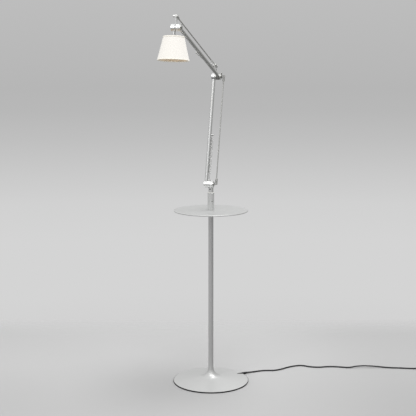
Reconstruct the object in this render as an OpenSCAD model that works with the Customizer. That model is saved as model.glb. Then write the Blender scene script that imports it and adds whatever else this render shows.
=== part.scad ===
// Floor lamp with a round table on its pole and a spring-balanced arm.
// Units are millimetres. The origin is the centre of the foot's underside, +Z is up,
// the arm reaches along +X and every arm pivot turns about an axis along Y.

/* [Foot] */
// Outer diameter of the foot
base_d = 330; // [280:5:400]
// Thickness of the felt under the foot
felt_t = 2; // [1.5:0.5:3]
// Sheet thickness of the foot's spun shell
shell_t = 2; // [1.5:0.25:2.5]
// Height of the shell's upright rim
rim_h = 3.3; // [2.8:0.1:6]
// Fall of the shell's cone, in degrees
cone_fall = 7.4; // [5:0.2:10]
// Radius of the flare that runs up to the pole
flare_r = 42; // [30:1:60]
// Radius of the cast weight's hub under the flare
hub_r = 21; // [19:0.5:24]

/* [Pole] */
// Outer diameter of the pole
pole_d = 22; // [20:0.5:24]
// Wall of the pole
pole_wall = 1.5; // [1.25:0.25:2]
// Height of the top of the sleeve above the floor
sleeve_top = 845; // [835:5:1000]
// Outer diameter of the sleeve above the table
sleeve_d = 28.6; // [27.5:0.1:32]

/* [Table] */
// Diameter of the table top
table_d = 322; // [260:2:380]
// Height of the table's top face above the floor
table_z = 769; // [650:1:790]
// Sheet thickness of the table top
table_t = 2; // [1.5:0.25:3]
// Diameter of the rolled bead round the table's edge
bead_d = 4.4; // [4:0.2:8]
// Diameter of the clamping collar under the table
collar_d = 34; // [32:1:40]
// Height of the clamping collar under the table
collar_h = 20; // [16:1:30]

/* [Arm] */
// Height of the lowest arm pivot above the floor
hub_z = 881; // [878:1:1040]
// Diameter of the barrels at the pivots
barrel_d = 28; // [26:0.5:30]
// Distance between the pivots of the lower arm
lower_len = 470; // [360:5:560]
// Backward lean of the lower arm at rest, in degrees
lower_lean = 12; // [0:1:30]
// Distance between the pivots of the upper arm
upper_len = 490; // [400:5:580]
// Rise of the upper arm at rest, in degrees
upper_rise = 22.5; // [0:0.5:27]
// Diameter of the lower arm's tube
lower_tube_d = 16; // [14:0.5:18]
// Diameter of the upper arm's tube
upper_tube_d = 14; // [12:0.5:16]
// Wall of both arm tubes
arm_wall = 1.2; // [1:0.1:1.5]
// Diameter of the guide rods
rod_d = 5; // [4:0.5:6]
// Distance of the lower guide rod's pivots behind the arm's
lower_offset = 40; // [34:1:46]
// Distance of the upper guide rod's pivots above the arm's
upper_offset = 44; // [42:1:50]

/* [Springs] */
// Outer diameter of both springs
spring_d = 10; // [8:0.5:11]
// Diameter of the spring wire
wire_d = 1.6; // [1.2:0.1:1.8]
// Curls of the lower spring
lower_curls = 30; // [20:1:34]
// Curls of the upper spring
upper_curls = 38; // [24:1:42]
// Distance of the lower spring's pin from the hub along the arm
lower_pin_at = 214; // [190:2:240]
// Distance of the upper spring's pin from the elbow along the arm
upper_pin_at = 255; // [220:5:280]

/* [Head] */
// Forward tilt of the shade at rest, in degrees
head_tilt = 5; // [0:1:30]
// Diameter of the shade at its top
shade_top_d = 82; // [74:1:100]
// Diameter of the shade at its bottom
shade_bottom_d = 126; // [110:1:150]
// Height of the shade
shade_h = 92; // [86:1:120]
// Thickness of the shade's skin
shade_t = 1; // [0.8:0.1:1.5]
// Distance from the head's pivot down to the shade's top edge
shade_drop = 34; // [32:1:45]
// Diameter of the stem that carries the lampholder
stem_d = 12; // [11:0.5:14]
// Diameter of the bulb's globe
bulb_d = 45; // [35:1:50]

/* [Cord] */
// Diameter of the cord
cord_d = 6; // [5:0.5:6.5]
// Largest radius of the coil, to the cord's centre
coil_r = 45; // [42:1:60]
// Turns in each of the coil's two layers
layer_turns = 2.75; // [1.75:1:2.75]

/* [Hidden] */
$fn = 64;

// Clearances: between fixed pieces, round turning pins, and along the pivots.
fit = 0.02;
run = 0.05;
gap = 0.3;
eps = 0.01;

// Foot
base_r = base_d / 2;
pole_r = pole_d / 2;
pole_in = pole_r - pole_wall;
rim_z = felt_t + rim_h;
flare_top_r = pole_r + 1;
flare_x = flare_top_r + flare_r;
flare_z = rim_z + (base_r - flare_x + flare_r * sin(cone_fall)) * tan(cone_fall)
    + flare_r * cos(cone_fall);
nut_top = 14;
nut_h = 5.7;
pole_foot = 7.5;
lead_r = 2.3;
lead_z = felt_t + 0.1 + lead_r;
lead_bend = 6;

// Cord exit through the rim, and the gland with its tapered relief that guards it
exit_angle = 139.5;
gland_r = 4.5;
gland_in = base_r - 27;
gland_out = base_r + 2;
gland_z = 5.2;
relief_len = 22;
relief_out = gland_out + relief_len;
relief_tip_r = cord_d / 2 + 0.7;

// Table and sleeve
table_r = table_d / 2;
bead_r = bead_d / 2;
flange_d = 84;
flange_t = 2.5;
sleeve_r = sleeve_d / 2;
sleeve_screw_z = table_z + 39;
sleeve_screw_angle = 40;

// Swivel
bush_flange_t = 1.7;
bush_r = pole_in - fit;
pin_r = 8;
pin_foot = sleeve_top - 40;
neck_r = 11.3;
neck_foot = sleeve_top + bush_flange_t + gap;
neck_screw_z = hub_z - 20;
lead_bore = 3;

// Pivots, across the arm: the Y of each piece's two faces
barrel_r = barrel_d / 2;
axle_r = 5;
elbow_axle_r = 6;
thread_r = 3.5;
thumb_len = 15;
arm_y = -21.5;
arm_eye = [-28.5, -14.5];
lever_y = [-13, -10];
washer_y = [-14.2, -13.3];
mid_eye = [-9.6, 8.1];
lug_y = [8.5, 11.5];
swivel_eye = [-13, 8.2];
upper_y = 1;
tie_plane_y = (lug_y[0] + lug_y[1]) / 2;
lever_plane_y = (lever_y[0] + lever_y[1]) / 2;

// Arm geometry: pivots in the plane of the arm, as [x, z]
lower_dir = [-sin(lower_lean), cos(lower_lean)];
upper_dir = [cos(upper_rise), sin(upper_rise)];
hub_at = [0, hub_z];
elbow_at = hub_at + lower_len * lower_dir;
head_at = elbow_at + upper_len * upper_dir;

// Guide rods
rod_r = rod_d / 2;
pin_d = 4;
fork_r = 5.4;
fork_gap = 0.4;
fork_slot = 13.5;
fork_len = 20;
plate_end_r = 6;
lever_edge = plate_end_r + wire_d / 4;

// Springs
curl_r = spring_d / 2 - wire_d / 2;
lower_hook_z = 17.5;
lower_spring_y = -8;
stub_r = 2.5;
stub_head_r = 3.6;
upper_hook_z = 32;
lower_hook_at = hub_at + [0, lower_hook_z];
lower_stub_at = hub_at + lower_pin_at * lower_dir;
upper_hook_at = elbow_at + [0, upper_hook_z];
upper_stub_at = elbow_at + upper_pin_at * upper_dir;
lower_coil_from = 26;
upper_coil_from = 14;
coil_to_end = 9;

// Head
stem_r = stem_d / 2;
holder_r = 14.5;
holder_len = 34;
cap_r = 7;
globe_r = bulb_d / 2;
globe_z = -shade_drop - 61;
hoop_wire = 1.2;
hub_plate_t = 1.6;
hub_plate_r = 11;

// Cord: the route over the floor from the gland to the switch, by hand
cord_r = cord_d / 2;
floor_z = cord_r + 0.05;
exit_way = [cos(exit_angle), sin(exit_angle), 0];
exit_point = relief_out * exit_way + [0, 0, gland_z];
switch_foot = [-470, 866, 8];
ROUTE = [exit_point, exit_point + cord_d * exit_way,
    [-158, 135, 4.1], [-170, 146, 3.3], [-186, 163, floor_z],
    [-202, 184, floor_z], [-212, 205, floor_z], [-222, 228, floor_z], [-246, 252, floor_z],
    [-282, 274, floor_z], [-310, 296, floor_z], [-328, 318, floor_z], [-334, 341, floor_z],
    [-329, 370, floor_z], [-336, 410, floor_z], [-358, 448, floor_z], [-370, 482, floor_z],
    [-374, 512, floor_z], [-380, 548, 4], [-394, 572, 7], [-406, 600, 9], [-416, 632, 9],
    [-428, 662, 6.5], [-437, 692, 4], [-444, 730, floor_z], [-455, 770, floor_z],
    [-464, 815, floor_z], [-468, 840, 5], switch_foot - [0, cord_d, 0], switch_foot];
route_step = 15;

// Cord: switch, coil and plug past the end of the route
switch_len = 62;
switch_w = 28;
switch_h = 18;
switch_split = 10;
switch_gap = 0.15;
switch_far = switch_foot + [0, switch_len, 0];
rocker_len = 20;
rocker_w = 12;
rocker_axis_z = 13;
coil_pitch = cord_d + 0.7;
coil_centre = [switch_foot[0] + coil_r, switch_far[1] + 62];
climb_turns = 0.5;
coil_turns = 2 * layer_turns + climb_turns;
coil_in = [switch_foot[0], coil_centre[1] - cord_d, floor_z];
coil_out = [switch_foot[0], coil_centre[1] + cord_d, floor_z + coil_pitch];
plug_foot = [switch_foot[0], coil_out[1] + 44, 7.2];
plug_len = 36;
plug_w = 27;
plug_h = 14;
contact_len = 19;
contact_gap = 18.6;

function unit(v) = v / norm(v);

// Points of an arc about c, from angle a to angle b.
function arc(c, r, a, b, n = 16) =
    [for (i = [0:n]) c + r * [cos(a + (b - a) * i / n), sin(a + (b - a) * i / n)]];

// A smooth line through the points p, with m steps between each two.
function curve(p, m) = concat([for (i = [0:len(p) - 2]) for (j = [0:m - 1])
    let (a = p[max(i - 1, 0)], b = p[i], c = p[i + 1], d = p[min(i + 2, len(p) - 1)], t = j / m)
    b + 0.5 * t * (c - a) + t * t * (a - 2.5 * b + 2 * c - 0.5 * d)
    + t * t * t * (1.5 * (b - c) + 0.5 * (d - a))], [p[len(p) - 1]]);

function tangents(p) =
    [for (i = [0:len(p) - 1]) unit(p[min(i + 1, len(p) - 1)] - p[max(i - 1, 0)])];

// Side vectors that follow the tangents t without twisting.
function sides(t, s) = [for (i = 0, n = unit(s - (s * t[0]) * t[0]); i < len(t);
    i = i + 1, n = unit(n - (n * t[min(i, len(t) - 1)]) * t[min(i, len(t) - 1)])) n];

// A round tube along the points p, with n sides; s points to one side of the first point.
module tube(p, r, n, s = [1, 0, 0]) {
    t = tangents(p);
    side = sides(t, s);
    rings = [for (i = [0:len(p) - 1]) for (j = [0:n - 1])
        p[i] + r * (cos(360 * j / n) * side[i] + sin(360 * j / n) * cross(t[i], side[i]))];
    walls = [for (i = [0:len(p) - 2]) for (j = [0:n - 1])
        let (a = i * n + j, b = i * n + (j + 1) % n) each [[a, b, b + n], [a, b + n, a + n]]];
    start = [for (j = [1:n - 2]) [0, j + 1, j]];
    last = (len(p) - 1) * n;
    end = [for (j = [1:n - 2]) [last, last + j, last + j + 1]];
    polyhedron(points = rings, faces = [for (f = concat(walls, start, end)) [f[2], f[1], f[0]]]);
}

// Places a piece in the plane of the arm at [x, z], with its own +Z at angle a from upright.
module at(p, a = 0) {
    translate([p[0], 0, p[1]])
        rotate([0, a, 0])
            children();
}
module on_lower() {
    at(hub_at, -lower_lean)
        children();
}
module on_upper() {
    at(elbow_at, 90 - upper_rise)
        children();
}
module on_head() {
    at(head_at, -head_tilt)
        children();
}

// A cylinder along Y between the faces y[0] and y[1].
module across(r, y, x = 0, z = 0) {
    translate([x, y[1], z])
        rotate([90, 0, 0])
            cylinder(r = r, h = y[1] - y[0]);
}

// A plate along Y between the faces y[0] and y[1]; the outline is drawn as x and z.
module plate(y) {
    translate([0, y[1], 0])
        rotate([90, 0, 0])
            linear_extrude(y[1] - y[0])
                children();
}

// ---- Foot ----

module shell_outline(inset) {
    start = 180;
    end = 270 - cone_fall;
    rise = rim_z - inset / cos(cone_fall) + inset * tan(cone_fall);
    polygon(concat([[0, felt_t], [base_r - inset, felt_t], [base_r - inset, rise]],
        arc([flare_x, flare_z], flare_r + inset, end, start), [[0, flare_z]]));
}
module gland_place() {
    rotate([0, 0, exit_angle])
        translate([0, 0, gland_z])
            rotate([0, 90, 0])
                children();
}
module base_shell() {
    color("#d2d1cd")
        difference() {
            rotate_extrude($fn = 96)
                shell_outline(0);
            translate([0, 0, -eps])
                rotate_extrude($fn = 96)
                    shell_outline(shell_t);
            cylinder(r = pole_r + fit, h = flare_z + 1);
            gland_place()
                translate([0, 0, gland_in - gap])
                    cylinder(r = gland_r + fit, h = 40);
            rotate([0, 0, exit_angle])
                translate([gland_in - gap, -gland_r - fit, 0])
                    cube([40, 2 * (gland_r + fit), gland_z]);
        }
}
module ballast() {
    color("#3c3d40")
        difference() {
            intersection() {
                rotate_extrude($fn = 96)
                    shell_outline(shell_t + gap);
                union() {
                    cylinder(r = base_r, h = 20 + rim_z);
                    cylinder(r = hub_r, h = flare_z);
                }
                translate([0, 0, felt_t])
                    cylinder(r = base_r, h = 34);
            }
            cylinder(r = pole_r + fit, h = flare_z);
            cylinder(r = 17, h = nut_top);
            rotate([0, 0, exit_angle])
                translate([0, -lead_r - gap, 0])
                    cube([base_r, 2 * (lead_r + gap), lead_z + lead_r + gap]);
            rotate([0, 0, exit_angle])
                translate([gland_in - gap, -gland_r - gap, 0])
                    cube([40, 2 * (gland_r + gap), 20]);
        }
}
module base_felt() {
    color("#2b2b2d")
        cylinder(r = base_r - 4, h = felt_t, $fn = 96);
}
module pole_nut() {
    color("#b9bab8")
        difference() {
            translate([0, 0, nut_top - nut_h])
                cylinder(r = 15.6, h = nut_h, $fn = 6);
            cylinder(r = pole_r + fit, h = nut_top + 1);
        }
}
module cord_grommet() {
    color("#1d1d1f")
        intersection() {
            gland_place()
                union() {
                    translate([0, 0, gland_in])
                        cylinder(r = gland_r, h = gland_out - gland_in);
                    translate([0, 0, base_r + gap / 3])
                        cylinder(r = gland_r + 1.2, h = gland_out - base_r - gap / 3);
                    translate([0, 0, gland_out - 0.5])
                        cylinder(r1 = gland_r + 0.2, r2 = relief_tip_r, h = relief_len + 0.5);
                }
            translate([-base_d, -base_d, felt_t + 0.05])
                cube([2 * base_d, 2 * base_d, 30]);
        }
}

// ---- Pole and table ----

module pole() {
    color("#c9c8c4")
        difference() {
            translate([0, 0, pole_foot])
                cylinder(r = pole_r, h = sleeve_top - pole_foot);
            cylinder(r = pole_in, h = sleeve_top + 1);
        }
}
module base_lead() {
    color("#1d1d1f")
        rotate([0, 0, exit_angle])
            union() {
                translate([lead_bend, 0, lead_z])
                    rotate([0, 90, 0])
                        cylinder(r = lead_r, h = gland_in - lead_bend);
                translate([lead_bend, 0, lead_z + lead_bend])
                    rotate([90, 0, 0])
                        rotate([0, 0, 180])
                            rotate_extrude(angle = 90)
                                translate([lead_bend, 0])
                                    circle(r = lead_r);
                translate([0, 0, lead_z + lead_bend])
                    cylinder(r = lead_r, h = pin_foot - 6 - lead_z - lead_bend);
            }
}
module table_top() {
    color("#cfcecb")
        rotate_extrude($fn = 96)
            union() {
                translate([pole_r + fit, table_z - table_t])
                    square([table_r - bead_r - pole_r - fit, table_t]);
                translate([table_r - bead_r, table_z - bead_r])
                    circle(r = bead_r, $fn = 24);
            }
}
module radial(z, a) {
    translate([0, 0, z])
        rotate([0, 0, a])
            rotate([0, 90, 0])
                children();
}
module table_collar() {
    top = table_z - table_t;
    color("#bdbcb8")
        difference() {
            union() {
                translate([0, 0, top - flange_t])
                    cylinder(d = flange_d, h = flange_t);
                translate([0, 0, top - flange_t - collar_h])
                    cylinder(d1 = collar_d - 2, d2 = collar_d, h = 1);
                translate([0, 0, top - flange_t - collar_h + 1])
                    cylinder(d = collar_d, h = collar_h);
            }
            translate([0, 0, top - flange_t - collar_h - 1])
                cylinder(r = pole_r + fit, h = collar_h + flange_t + 2);
            radial(top - flange_t - collar_h / 2, sleeve_screw_angle + 180)
                cylinder(r = 2.5 + fit, h = collar_d);
        }
}
module grub_screw(r, from, to) {
    color("#6f7072")
        difference() {
            translate([0, 0, from])
                cylinder(r = r, h = to - from);
            translate([0, 0, to - 2])
                cylinder(r = r * 0.5, h = 3, $fn = 6);
        }
}
module collar_screw() {
    radial(table_z - table_t - flange_t - collar_h / 2, sleeve_screw_angle + 180)
        grub_screw(2.5, pole_r + fit, collar_d / 2 - 0.6);
}
module socket_sleeve() {
    color("#cccbc7")
        difference() {
            union() {
                translate([0, 0, table_z + fit])
                    cylinder(r = sleeve_r, h = sleeve_top - table_z - 1);
                translate([0, 0, sleeve_top - 1])
                    cylinder(r1 = sleeve_r, r2 = sleeve_r - 0.8, h = 1);
            }
            translate([0, 0, table_z - 1])
                cylinder(r = pole_r + fit, h = sleeve_top - table_z + 2);
            radial(sleeve_screw_z, sleeve_screw_angle)
                cylinder(r = 2.2 + fit, h = sleeve_d);
        }
}
module sleeve_screw() {
    radial(sleeve_screw_z, sleeve_screw_angle)
        grub_screw(2.2, pole_r + fit, sleeve_r - 0.4);
}

// ---- Swivel ----

module swivel_bush() {
    color("#e4e3df")
        difference() {
            union() {
                translate([0, 0, pin_foot])
                    cylinder(r = bush_r, h = sleeve_top - pin_foot + bush_flange_t);
                translate([0, 0, sleeve_top + fit])
                    cylinder(r = sleeve_r - 0.4, h = bush_flange_t - fit);
            }
            translate([0, 0, pin_foot - 1])
                cylinder(r = pin_r + run, h = 60);
        }
}
module swivel_body() {
    color("#cbcac6")
        difference() {
            union() {
                translate([0, 0, pin_foot - 4])
                    cylinder(r = pin_r, h = neck_foot - pin_foot + 5);
                translate([0, 0, neck_foot])
                    cylinder(r = neck_r, h = hub_z - barrel_r - gap - neck_foot);
                translate([0, 0, neck_foot])
                    cylinder(r = pin_r, h = hub_z - neck_foot);
                at(hub_at)
                    across(barrel_r, swivel_eye);
                at(lower_hook_at)
                    across(stub_r, [lower_spring_y - 2.5, lower_spring_y + 2.5]);
                at(hub_at)
                    plate([lower_spring_y + 2.5, lower_spring_y + 5])
                        union() {
                            translate([-4, 0])
                                square([8, lower_hook_z]);
                            translate([0, lower_hook_z])
                                circle(r = 4);
                        }
            }
            at(hub_at)
                across(axle_r + fit, [swivel_eye[0] - 1, swivel_eye[1] + 1]);
            translate([0, 0, pin_foot - 5])
                cylinder(r = lead_bore, h = hub_z - barrel_r - pin_foot + 8);
            radial(neck_screw_z, 0)
                translate([0, 0, lead_bore + 1])
                    cylinder(r = 1.8 + fit, h = neck_r);
        }
}
module neck_screw() {
    radial(neck_screw_z, 0)
        grub_screw(1.8, lead_bore + 1, neck_r - 0.3);
}
module neck_lead() {
    color("#1d1d1f")
        translate([0, 0, pin_foot - 4])
            cylinder(r = lead_r, h = hub_z - barrel_r - pin_foot + 6);
}
module hub_axle() {
    color("#8f908f")
        at(hub_at)
            difference() {
                union() {
                    across(axle_r, [arm_eye[0] - 2.4, lug_y[1] + 2]);
                    across(8.5, [arm_eye[0] - 2.4, arm_eye[0] - gap]);
                    across(7, [lug_y[1] + 0.05, lug_y[1] + 2]);
                }
                across(2, [arm_eye[0] - 3, arm_eye[0] - 1]);
            }
}
module washer(r, bore) {
    color("#e2e1dc")
        difference() {
            across(r, washer_y);
            across(bore, [washer_y[0] - 1, washer_y[1] + 1]);
        }
}
module hub_washer() {
    at(hub_at)
        washer(barrel_r - 2, axle_r + fit);
}
// A flat lug with a boss round a pivot and an arm to a pin hole at [x, z].
module lug_plate(y, boss_r, bore, to, hole) {
    difference() {
        plate(y)
            union() {
                circle(r = boss_r);
                rotate(atan2(to[1], to[0]))
                    translate([0, -plate_end_r])
                        square([norm(to), 2 * plate_end_r]);
                translate(to)
                    circle(r = plate_end_r);
            }
        across(bore, [y[0] - 1, y[1] + 1]);
        across(hole, [y[0] - 1, y[1] + 1], to[0], to[1]);
    }
}
module hub_lug() {
    color("#c4c3bf")
        at(hub_at)
            lug_plate(lug_y, barrel_r, axle_r + fit, [-lower_offset, 0], pin_d / 2 + run);
}

// ---- Lower arm ----

// A pivot eye with a spigot for a tube that starts at distance seat along +Z.
module eye(r, y, bore, tube_y, tube_r, seat) {
    difference() {
        union() {
            across(r, y);
            translate([0, tube_y, r - 1])
                cylinder(r = tube_r, h = seat - r + 1);
            translate([0, tube_y, 0])
                cylinder(r = tube_r - arm_wall - fit, h = seat + 24);
        }
        across(bore, [y[0] - 1, y[1] + 1]);
        translate([0, tube_y, seat - 1.5])
            cylinder(r = lead_bore, h = 40);
    }
}
module arm_tube(len, y, r, seat) {
    translate([0, y, seat])
        difference() {
            cylinder(r = r, h = len - 2 * seat);
            translate([0, 0, -1])
                cylinder(r = r - arm_wall, h = len);
        }
}
eye_seat = barrel_r + 2;
lower_tube_r = lower_tube_d / 2;
upper_tube_r = upper_tube_d / 2;
module lower_arm_foot() {
    color("#cbcac6")
        on_lower()
            eye(barrel_r, arm_eye, axle_r + run, arm_y, lower_tube_r, eye_seat);
}
module lower_arm_top() {
    color("#cbcac6")
        at(elbow_at, 180 - lower_lean)
            eye(barrel_r, arm_eye, elbow_axle_r + run, arm_y, lower_tube_r, eye_seat);
}
module lower_arm_tube() {
    color("#cfceca")
        on_lower()
            difference() {
                arm_tube(lower_len, arm_y, lower_tube_r, eye_seat);
                across(stub_r + fit, [arm_y, arm_y + lower_tube_d], 0, lower_pin_at);
            }
}
// A spring pin that stands on a tube: its root goes through the wall and its tip has a head.
module spring_pin(z, root, tip) {
    head = tip - sign(tip - root);
    across(stub_r, [min(root, tip), max(root, tip)], 0, z);
    across(stub_head_r, [min(head, tip), max(head, tip)], 0, z);
}
module lower_spring_pin() {
    color("#b4b3af")
        on_lower()
            spring_pin(lower_pin_at, arm_y + lower_tube_r - arm_wall - 0.6, lower_spring_y + 5);
}
module lead_in_tube(len, y) {
    color("#1d1d1f")
        translate([0, y, eye_seat - 1])
            cylinder(r = lead_r, h = len - 2 * eye_seat + 2);
}
module lower_arm_lead() {
    on_lower()
        lead_in_tube(lower_len, arm_y);
}

// ---- Springs ----

// The wire's centre line: straight ends on the axis and an even coil between them.
function coil_line(from, to, len, curls) =
    let (n = curls * 8, lead = 1.6 * wire_d)
    concat([[0, 0, 0], [0, 0, wire_d], [0, 0, from - lead]],
        [for (i = [0:n]) [curl_r * cos(45 * i), curl_r * sin(45 * i), from + (to - from) * i / n]],
        [[0, 0, to + lead], [0, 0, len - wire_d], [0, 0, len]]);

// A spring in the arm's plane from the hook a, of half-width hook_r, to the pin b.
module spring_between(a, b, hook_r, y, coil_from, curls) {
    d = b - a;
    free = norm(d) - hook_r - stub_r - 2 * gap;
    color("#a9a9a8")
        translate([a[0], y, a[1]])
            rotate([0, atan2(d[0], d[1]), 0])
                translate([0, 0, hook_r + gap])
                    tube(coil_line(coil_from, free - coil_to_end, free, curls), wire_d / 2, 6);
}
module lower_spring() {
    spring_between(lower_hook_at, lower_stub_at, stub_r, lower_spring_y, lower_coil_from,
        lower_curls);
}
module upper_spring() {
    spring_between(upper_hook_at, upper_stub_at, lever_edge, lever_plane_y, upper_coil_from,
        upper_curls);
}
lower_free = norm(lower_stub_at - lower_hook_at) - 2 * (stub_r + gap);
upper_free = norm(upper_stub_at - upper_hook_at) - lever_edge - stub_r - 2 * gap;
echo(lower_spring_gap = (lower_free - coil_to_end - lower_coil_from) / lower_curls - wire_d);
echo(upper_spring_gap = (upper_free - coil_to_end - upper_coil_from) / upper_curls - wire_d);

// ---- Guide rods ----

// A fork at the rod's end, round a plate with the faces y, pinned at the origin.
module fork(y) {
    mid = (y[0] + y[1]) / 2;
    difference() {
        translate([0, mid, -fork_r])
            cylinder(r = fork_r, h = fork_r + fork_len);
        translate([-10, y[0] - fork_gap, -10])
            cube([20, y[1] - y[0] + 2 * fork_gap, 10 + fork_slot]);
        across(pin_d / 2 + fit, [mid - 10, mid + 10]);
    }
}
module tie_rod(len, y) {
    mid = (y[0] + y[1]) / 2;
    union() {
        fork(y);
        translate([0, mid, fork_slot + 1])
            cylinder(r = rod_r, h = len - 2 * fork_slot - 2);
        translate([0, 0, len])
            rotate([0, 180, 0])
                fork(y);
    }
}
module rod_pin(y) {
    union() {
        across(pin_d / 2, y);
        across(pin_d / 2 + 1, [y[0], y[0] + 0.9]);
    }
}
module lower_tie_rod() {
    color("#c2c1bd")
        at(hub_at + [-lower_offset, 0], -lower_lean)
            tie_rod(lower_len, lug_y);
}
module lower_tie_pins() {
    span = [tie_plane_y - fork_r - 1, tie_plane_y + fork_r + 0.6];
    color("#9b9b9a")
        union() {
            at(hub_at + [-lower_offset, 0])
                rod_pin(span);
            at(elbow_at + [-lower_offset, 0])
                rod_pin(span);
        }
}
module upper_tie_rod() {
    color("#c2c1bd")
        at(elbow_at + [0, upper_offset], 90 - upper_rise)
            tie_rod(upper_len, lever_y);
}
module upper_tie_pins() {
    color("#9b9b9a")
        union() {
            at(elbow_at + [0, upper_offset])
                rod_pin([lever_plane_y - fork_r - 1, lever_plane_y + fork_r + 0.6]);
            at(head_at + [0, upper_offset])
                rod_pin([arm_y - 3, -3]);
        }
}

// ---- Elbow ----

module elbow_axle() {
    color("#9a9a99")
        at(elbow_at)
            union() {
                across(elbow_axle_r, [arm_eye[0] - 2, lug_y[1]]);
                across(thread_r, [lug_y[1] - 1, lug_y[1] + 5.5]);
            }
}
// The thumb nut that clamps the elbow: a round nut with one upright tab.
module elbow_nut() {
    y = [lug_y[1] + 0.05, lug_y[1] + 5];
    color("#a0a09f")
        at(elbow_at)
            difference() {
                union() {
                    across(8, [y[0], y[0] + 1.9]);
                    across(5.5, y);
                    plate([y[0] + 0.6, y[0] + 3.6])
                        union() {
                            translate([-3, 0])
                                square([6, thumb_len]);
                            translate([0, thumb_len])
                                circle(r = 3);
                        }
                }
                across(thread_r + fit, [y[0] - 1, y[1] + 1]);
            }
}
module elbow_knob() {
    dome = 4.6;
    color("#c9c8c4")
        at(elbow_at)
            difference() {
                translate([0, arm_eye[0] - gap, 0])
                    rotate([90, 0, 0])
                        rotate_extrude()
                            polygon(concat([[0, 0], [10.5, 0], [10.5, 1.4]],
                                [for (a = [10:10:90]) [10.5 * cos(a), 1.4 + (dome - 1.4) * sin(a)]]));
                across(elbow_axle_r + fit, [arm_eye[0] - 2 - fit, arm_eye[0]]);
            }
}
module elbow_washer() {
    at(elbow_at)
        washer(barrel_r - 2, elbow_axle_r + fit);
}
module elbow_lever() {
    color("#c4c3bf")
        at(elbow_at)
            difference() {
                lug_plate(lever_y, barrel_r - 1, elbow_axle_r + fit, [0, upper_offset], pin_d / 2 + run);
                across(1.5, [lever_y[0] - 1, lever_y[1] + 1], 0, upper_hook_z);
            }
}
module elbow_lug() {
    color("#c4c3bf")
        at(elbow_at)
            lug_plate(lug_y, barrel_r - 1, elbow_axle_r + fit, [-lower_offset, 0], pin_d / 2 + 4 * run);
}

// ---- Upper arm ----

module upper_arm_foot() {
    color("#cbcac6")
        on_upper()
            eye(barrel_r - 0.5, mid_eye, elbow_axle_r + run, upper_y, upper_tube_r, eye_seat);
}
module upper_arm_tip() {
    color("#cbcac6")
        at(head_at, -90 - upper_rise)
            eye(barrel_r - 0.5, mid_eye, axle_r + run, upper_y, upper_tube_r, eye_seat);
}
module upper_arm_tube() {
    color("#cfceca")
        on_upper()
            difference() {
                arm_tube(upper_len, upper_y, upper_tube_r, eye_seat);
                across(stub_r + fit, [upper_y - upper_tube_d, upper_y], 0, upper_pin_at);
            }
}
module upper_spring_pin() {
    color("#b4b3af")
        on_upper()
            spring_pin(upper_pin_at, upper_y - upper_tube_r + arm_wall + 0.6, lever_plane_y - 3.2);
}
module upper_arm_lead() {
    on_upper()
        lead_in_tube(upper_len, upper_y);
}

// ---- Head ----

module head_axle() {
    color("#9a9a99")
        at(head_at)
            union() {
                across(axle_r, [arm_eye[0] - 4.6, mid_eye[1] + 2.2]);
                across(8.5, [arm_eye[0] - 4.6, arm_eye[0] - 2.5 - gap]);
                across(7.5, [mid_eye[1] + gap, mid_eye[1] + 2.2]);
            }
}
module head_lever() {
    color("#c4c3bf")
        at(head_at)
            lug_plate(lever_y, barrel_r - 1, axle_r + fit, [0, upper_offset], pin_d / 2 + 4 * run);
}
module head_barrel() {
    y = [arm_eye[0] - 2.5, arm_eye[1] + 0.5];
    color("#cbcac6")
        on_head()
            difference() {
                union() {
                    across(barrel_r, y);
                    translate([0, arm_y, -barrel_r - 1.5])
                        cylinder(r = stem_r + 1, h = barrel_r);
                }
                across(axle_r + run, [y[0] - 1, y[1] + 1]);
                translate([0, arm_y, -barrel_r - 3])
                    cylinder(r = stem_r - 1 + fit, h = 8);
            }
}
module head_stem() {
    plate_top = -shade_drop - 1.4 + hub_plate_t;
    color("#c6c5c1")
        on_head()
            translate([0, arm_y, 0])
                union() {
                    translate([0, 0, plate_top])
                        cylinder(r = stem_r, h = -barrel_r - 1.5 - fit - plate_top);
                    translate([0, 0, -barrel_r - 3])
                        cylinder(r = stem_r - 1, h = 7.9);
                    translate([0, 0, plate_top - hub_plate_t - 10])
                        cylinder(r = stem_r - 1, h = 12);
                }
}
holder_top = -shade_drop - 1.4;
module lampholder() {
    color("#ece9e2")
        on_head()
            translate([0, arm_y, holder_top - fit])
                difference() {
                    union() {
                        translate([0, 0, -holder_len])
                            cylinder(r = holder_r - 1, h = holder_len - 8);
                        translate([0, 0, -9])
                            cylinder(r1 = holder_r - 1, r2 = holder_r - 3, h = 9);
                        translate([0, 0, -holder_len])
                            cylinder(r = holder_r, h = 3);
                    }
                    translate([0, 0, -10.5])
                        cylinder(r = stem_r - 1 + fit, h = 12);
                    translate([0, 0, -holder_len - 1])
                        cylinder(r = cap_r + 1.3, h = 20);
                }
}
module bulb() {
    cap_top = holder_top - holder_len + 18.5;
    color("#f6f3ea")
        on_head()
            translate([0, arm_y, 0])
                rotate_extrude($fn = 48)
                    polygon(concat([[0, globe_z - globe_r]],
                        [for (a = [-80:10:50]) [globe_r * cos(a), globe_z + globe_r * sin(a)]],
                        [[cap_r, holder_top - holder_len - 0.5], [cap_r, cap_top - 2],
                            [cap_r - 3, cap_top], [0, cap_top]]));
}
function shade_r(depth) =
    (shade_top_d + (shade_bottom_d - shade_top_d) * depth / shade_h) / 2;
hoop_depth = 1.4;
function hoop_r(depth) = shade_r(depth) - shade_t - hoop_wire - 0.1;
module hoop(depth) {
    translate([0, 0, -shade_drop - depth])
        rotate_extrude()
            translate([hoop_r(depth), 0])
                circle(r = hoop_wire, $fn = 16);
}
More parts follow.
